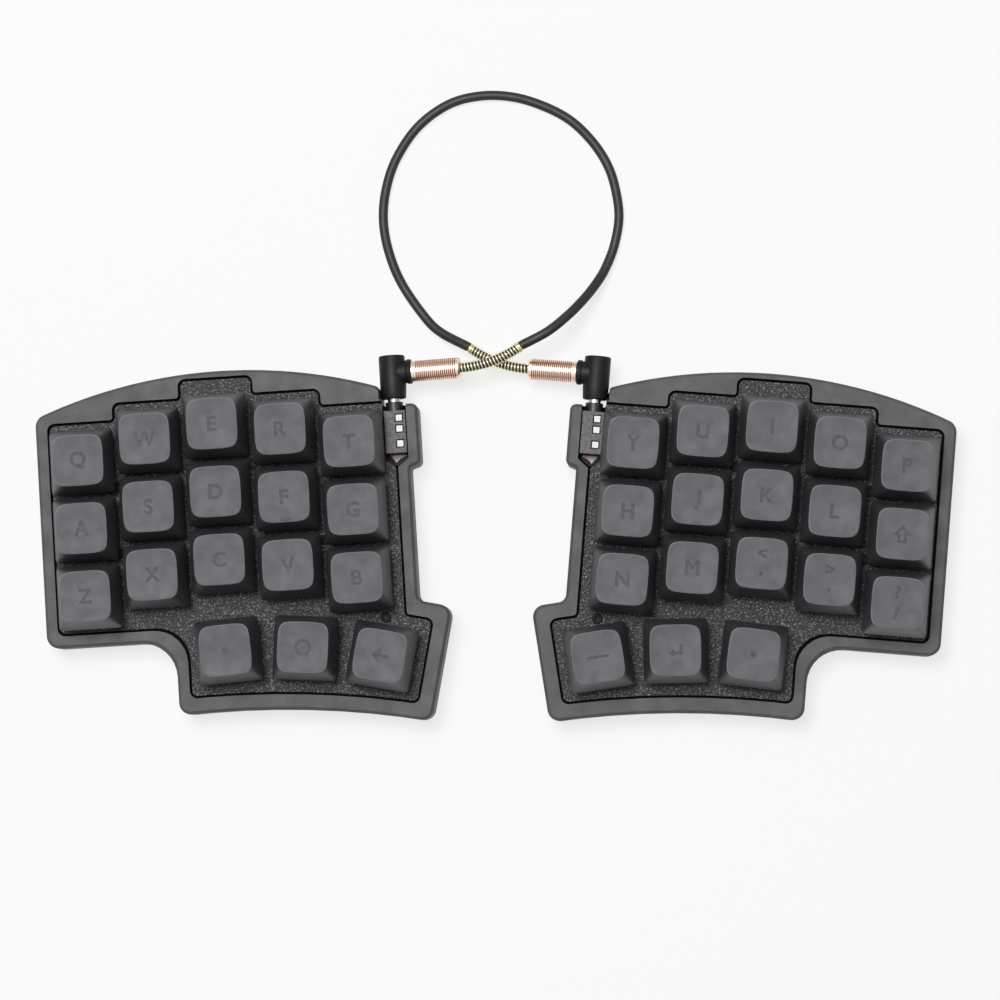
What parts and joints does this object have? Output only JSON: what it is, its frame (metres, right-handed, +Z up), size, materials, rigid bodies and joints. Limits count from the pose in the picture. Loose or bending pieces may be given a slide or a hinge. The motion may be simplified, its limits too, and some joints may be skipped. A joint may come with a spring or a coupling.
{
  "type": "split keyboard",
  "caption": "Column-staggered split keyboard: mirrored low cases with tall sprung keys and thumb clusters, joined by a short looped cable with right-angle plugs.",
  "frame": {"origin": "on the desk, midway across the box round both cases", "axes": "+X to the typist's right, +Y away from the typist, +Z up"},
  "size_m": [0.26, 0.18, 0.0268],
  "materials": {
    "case": "satin moulding",
    "plate": "coarse matt grain",
    "board": "solder mask",
    "switch_body": "matt moulding",
    "keycap": "fine satin grain",
    "jack": "matt moulding",
    "foot_rubber": "matt",
    "screw_steel": "black oxide",
    "spring_steel": "drawn wire",
    "socket_steel": "nickel plated",
    "chip": "matt epoxy",
    "plug_body": "satin moulding",
    "shell_metal": "rose gold plated, turned",
    "brass_wire": "bright drawn wire",
    "cord_jacket": "satin jacket"
  },
  "bodies": {
    "keyboard": {"left_case": "case", "right_case": "case", "left_plate": "plate", "right_plate": "plate", "left_circuit_board": "board", "right_circuit_board": "board", "left_switch_bodies": "switch_body", "right_switch_bodies": "switch_body", "left_jack": "jack", "right_jack": "jack", "rubber_feet": "foot_rubber", "plate_screws": "screw_steel", "key_springs": "spring_steel", "usb_sockets": "socket_steel", "controller_chips": "chip", "matrix_diodes": "chip", "plug_contacts": "socket_steel", "left_plug_elbow": "plug_body", "right_plug_elbow": "plug_body", "left_plug_shell": "shell_metal", "right_plug_shell": "shell_metal", "left_strain_spring": "brass_wire", "right_strain_spring": "brass_wire", "link_cord": "cord_jacket"},
    "left_pinky_bottom_key": {"left_pinky_bottom_key": "keycap"},
    "left_pinky_home_key": {"left_pinky_home_key": "keycap"},
    "left_pinky_top_key": {"left_pinky_top_key": "keycap"},
    "left_ring_bottom_key": {"left_ring_bottom_key": "keycap"},
    "left_ring_home_key": {"left_ring_home_key": "keycap"},
    "left_ring_top_key": {"left_ring_top_key": "keycap"},
    "left_middle_bottom_key": {"left_middle_bottom_key": "keycap"},
    "left_middle_home_key": {"left_middle_home_key": "keycap"},
    "left_middle_top_key": {"left_middle_top_key": "keycap"},
    "left_index_bottom_key": {"left_index_bottom_key": "keycap"},
    "left_index_home_key": {"left_index_home_key": "keycap"},
    "left_index_top_key": {"left_index_top_key": "keycap"},
    "left_inner_bottom_key": {"left_inner_bottom_key": "keycap"},
    "left_inner_home_key": {"left_inner_home_key": "keycap"},
    "left_inner_top_key": {"left_inner_top_key": "keycap"},
    "left_thumb_outer_key": {"left_thumb_outer_key": "keycap"},
    "left_thumb_middle_key": {"left_thumb_middle_key": "keycap"},
    "left_thumb_inner_key": {"left_thumb_inner_key": "keycap"},
    "right_pinky_bottom_key": {"right_pinky_bottom_key": "keycap"},
    "right_pinky_home_key": {"right_pinky_home_key": "keycap"},
    "right_pinky_top_key": {"right_pinky_top_key": "keycap"},
    "right_ring_bottom_key": {"right_ring_bottom_key": "keycap"},
    "right_ring_home_key": {"right_ring_home_key": "keycap"},
    "right_ring_top_key": {"right_ring_top_key": "keycap"},
    "right_middle_bottom_key": {"right_middle_bottom_key": "keycap"},
    "right_middle_home_key": {"right_middle_home_key": "keycap"},
    "right_middle_top_key": {"right_middle_top_key": "keycap"},
    "right_index_bottom_key": {"right_index_bottom_key": "keycap"},
    "right_index_home_key": {"right_index_home_key": "keycap"},
    "right_index_top_key": {"right_index_top_key": "keycap"},
    "right_inner_bottom_key": {"right_inner_bottom_key": "keycap"},
    "right_inner_home_key": {"right_inner_home_key": "keycap"},
    "right_inner_top_key": {"right_inner_top_key": "keycap"},
    "right_thumb_outer_key": {"right_thumb_outer_key": "keycap"},
    "right_thumb_middle_key": {"right_thumb_middle_key": "keycap"},
    "right_thumb_inner_key": {"right_thumb_inner_key": "keycap"}
  },
  "joints": [
    {"name": "left_pinky_bottom_press", "type": "slide", "parent": "keyboard", "child": "left_pinky_bottom_key", "axis": [0, 0, -1], "range_m": [0, 0.004], "stiffness_N_per_m": 75, "springref_m": -0.004, "deforming": ["key_springs"]},
    {"name": "left_pinky_home_press", "type": "slide", "parent": "keyboard", "child": "left_pinky_home_key", "axis": [0, 0, -1], "range_m": [0, 0.004], "stiffness_N_per_m": 75, "springref_m": -0.004, "deforming": ["key_springs"]},
    {"name": "left_pinky_top_press", "type": "slide", "parent": "keyboard", "child": "left_pinky_top_key", "axis": [0, 0, -1], "range_m": [0, 0.004], "stiffness_N_per_m": 75, "springref_m": -0.004, "deforming": ["key_springs"]},
    {"name": "left_ring_bottom_press", "type": "slide", "parent": "keyboard", "child": "left_ring_bottom_key", "axis": [0, 0, -1], "range_m": [0, 0.004], "stiffness_N_per_m": 75, "springref_m": -0.004, "deforming": ["key_springs"]},
    {"name": "left_ring_home_press", "type": "slide", "parent": "keyboard", "child": "left_ring_home_key", "axis": [0, 0, -1], "range_m": [0, 0.004], "stiffness_N_per_m": 75, "springref_m": -0.004, "deforming": ["key_springs"]},
    {"name": "left_ring_top_press", "type": "slide", "parent": "keyboard", "child": "left_ring_top_key", "axis": [0, 0, -1], "range_m": [0, 0.004], "stiffness_N_per_m": 75, "springref_m": -0.004, "deforming": ["key_springs"]},
    {"name": "left_middle_bottom_press", "type": "slide", "parent": "keyboard", "child": "left_middle_bottom_key", "axis": [0, 0, -1], "range_m": [0, 0.004], "stiffness_N_per_m": 75, "springref_m": -0.004, "deforming": ["key_springs"]},
    {"name": "left_middle_home_press", "type": "slide", "parent": "keyboard", "child": "left_middle_home_key", "axis": [0, 0, -1], "range_m": [0, 0.004], "stiffness_N_per_m": 75, "springref_m": -0.004, "deforming": ["key_springs"]},
    {"name": "left_middle_top_press", "type": "slide", "parent": "keyboard", "child": "left_middle_top_key", "axis": [0, 0, -1], "range_m": [0, 0.004], "stiffness_N_per_m": 75, "springref_m": -0.004, "deforming": ["key_springs"]},
    {"name": "left_index_bottom_press", "type": "slide", "parent": "keyboard", "child": "left_index_bottom_key", "axis": [0, 0, -1], "range_m": [0, 0.004], "stiffness_N_per_m": 75, "springref_m": -0.004, "deforming": ["key_springs"]},
    {"name": "left_index_home_press", "type": "slide", "parent": "keyboard", "child": "left_index_home_key", "axis": [0, 0, -1], "range_m": [0, 0.004], "stiffness_N_per_m": 75, "springref_m": -0.004, "deforming": ["key_springs"]},
    {"name": "left_index_top_press", "type": "slide", "parent": "keyboard", "child": "left_index_top_key", "axis": [0, 0, -1], "range_m": [0, 0.004], "stiffness_N_per_m": 75, "springref_m": -0.004, "deforming": ["key_springs"]},
    {"name": "left_inner_bottom_press", "type": "slide", "parent": "keyboard", "child": "left_inner_bottom_key", "axis": [0, 0, -1], "range_m": [0, 0.004], "stiffness_N_per_m": 75, "springref_m": -0.004, "deforming": ["key_springs"]},
    {"name": "left_inner_home_press", "type": "slide", "parent": "keyboard", "child": "left_inner_home_key", "axis": [0, 0, -1], "range_m": [0, 0.004], "stiffness_N_per_m": 75, "springref_m": -0.004, "deforming": ["key_springs"]},
    {"name": "left_inner_top_press", "type": "slide", "parent": "keyboard", "child": "left_inner_top_key", "axis": [0, 0, -1], "range_m": [0, 0.004], "stiffness_N_per_m": 75, "springref_m": -0.004, "deforming": ["key_springs"]},
    {"name": "left_thumb_outer_press", "type": "slide", "parent": "keyboard", "child": "left_thumb_outer_key", "axis": [0, 0, -1], "range_m": [0, 0.004], "stiffness_N_per_m": 75, "springref_m": -0.004, "deforming": ["key_springs"]},
    {"name": "left_thumb_middle_press", "type": "slide", "parent": "keyboard", "child": "left_thumb_middle_key", "axis": [0, 0, -1], "range_m": [0, 0.004], "stiffness_N_per_m": 75, "springref_m": -0.004, "deforming": ["key_springs"]},
    {"name": "left_thumb_inner_press", "type": "slide", "parent": "keyboard", "child": "left_thumb_inner_key", "axis": [0, 0, -1], "range_m": [0, 0.004], "stiffness_N_per_m": 75, "springref_m": -0.004, "deforming": ["key_springs"]},
    {"name": "right_pinky_bottom_press", "type": "slide", "parent": "keyboard", "child": "right_pinky_bottom_key", "axis": [0, 0, -1], "range_m": [0, 0.004], "stiffness_N_per_m": 75, "springref_m": -0.004, "deforming": ["key_springs"]},
    {"name": "right_pinky_home_press", "type": "slide", "parent": "keyboard", "child": "right_pinky_home_key", "axis": [0, 0, -1], "range_m": [0, 0.004], "stiffness_N_per_m": 75, "springref_m": -0.004, "deforming": ["key_springs"]},
    {"name": "right_pinky_top_press", "type": "slide", "parent": "keyboard", "child": "right_pinky_top_key", "axis": [0, 0, -1], "range_m": [0, 0.004], "stiffness_N_per_m": 75, "springref_m": -0.004, "deforming": ["key_springs"]},
    {"name": "right_ring_bottom_press", "type": "slide", "parent": "keyboard", "child": "right_ring_bottom_key", "axis": [0, 0, -1], "range_m": [0, 0.004], "stiffness_N_per_m": 75, "springref_m": -0.004, "deforming": ["key_springs"]},
    {"name": "right_ring_home_press", "type": "slide", "parent": "keyboard", "child": "right_ring_home_key", "axis": [0, 0, -1], "range_m": [0, 0.004], "stiffness_N_per_m": 75, "springref_m": -0.004, "deforming": ["key_springs"]},
    {"name": "right_ring_top_press", "type": "slide", "parent": "keyboard", "child": "right_ring_top_key", "axis": [0, 0, -1], "range_m": [0, 0.004], "stiffness_N_per_m": 75, "springref_m": -0.004, "deforming": ["key_springs"]},
    {"name": "right_middle_bottom_press", "type": "slide", "parent": "keyboard", "child": "right_middle_bottom_key", "axis": [0, 0, -1], "range_m": [0, 0.004], "stiffness_N_per_m": 75, "springref_m": -0.004, "deforming": ["key_springs"]},
    {"name": "right_middle_home_press", "type": "slide", "parent": "keyboard", "child": "right_middle_home_key", "axis": [0, 0, -1], "range_m": [0, 0.004], "stiffness_N_per_m": 75, "springref_m": -0.004, "deforming": ["key_springs"]},
    {"name": "right_middle_top_press", "type": "slide", "parent": "keyboard", "child": "right_middle_top_key", "axis": [0, 0, -1], "range_m": [0, 0.004], "stiffness_N_per_m": 75, "springref_m": -0.004, "deforming": ["key_springs"]},
    {"name": "right_index_bottom_press", "type": "slide", "parent": "keyboard", "child": "right_index_bottom_key", "axis": [0, 0, -1], "range_m": [0, 0.004], "stiffness_N_per_m": 75, "springref_m": -0.004, "deforming": ["key_springs"]},
    {"name": "right_index_home_press", "type": "slide", "parent": "keyboard", "child": "right_index_home_key", "axis": [0, 0, -1], "range_m": [0, 0.004], "stiffness_N_per_m": 75, "springref_m": -0.004, "deforming": ["key_springs"]},
    {"name": "right_index_top_press", "type": "slide", "parent": "keyboard", "child": "right_index_top_key", "axis": [0, 0, -1], "range_m": [0, 0.004], "stiffness_N_per_m": 75, "springref_m": -0.004, "deforming": ["key_springs"]},
    {"name": "right_inner_bottom_press", "type": "slide", "parent": "keyboard", "child": "right_inner_bottom_key", "axis": [0, 0, -1], "range_m": [0, 0.004], "stiffness_N_per_m": 75, "springref_m": -0.004, "deforming": ["key_springs"]},
    {"name": "right_inner_home_press", "type": "slide", "parent": "keyboard", "child": "right_inner_home_key", "axis": [0, 0, -1], "range_m": [0, 0.004], "stiffness_N_per_m": 75, "springref_m": -0.004, "deforming": ["key_springs"]},
    {"name": "right_inner_top_press", "type": "slide", "parent": "keyboard", "child": "right_inner_top_key", "axis": [0, 0, -1], "range_m": [0, 0.004], "stiffness_N_per_m": 75, "springref_m": -0.004, "deforming": ["key_springs"]},
    {"name": "right_thumb_outer_press", "type": "slide", "parent": "keyboard", "child": "right_thumb_outer_key", "axis": [0, 0, -1], "range_m": [0, 0.004], "stiffness_N_per_m": 75, "springref_m": -0.004, "deforming": ["key_springs"]},
    {"name": "right_thumb_middle_press", "type": "slide", "parent": "keyboard", "child": "right_thumb_middle_key", "axis": [0, 0, -1], "range_m": [0, 0.004], "stiffness_N_per_m": 75, "springref_m": -0.004, "deforming": ["key_springs"]},
    {"name": "right_thumb_inner_press", "type": "slide", "parent": "keyboard", "child": "right_thumb_inner_key", "axis": [0, 0, -1], "range_m": [0, 0.004], "stiffness_N_per_m": 75, "springref_m": -0.004, "deforming": ["key_springs"]}
  ]
}
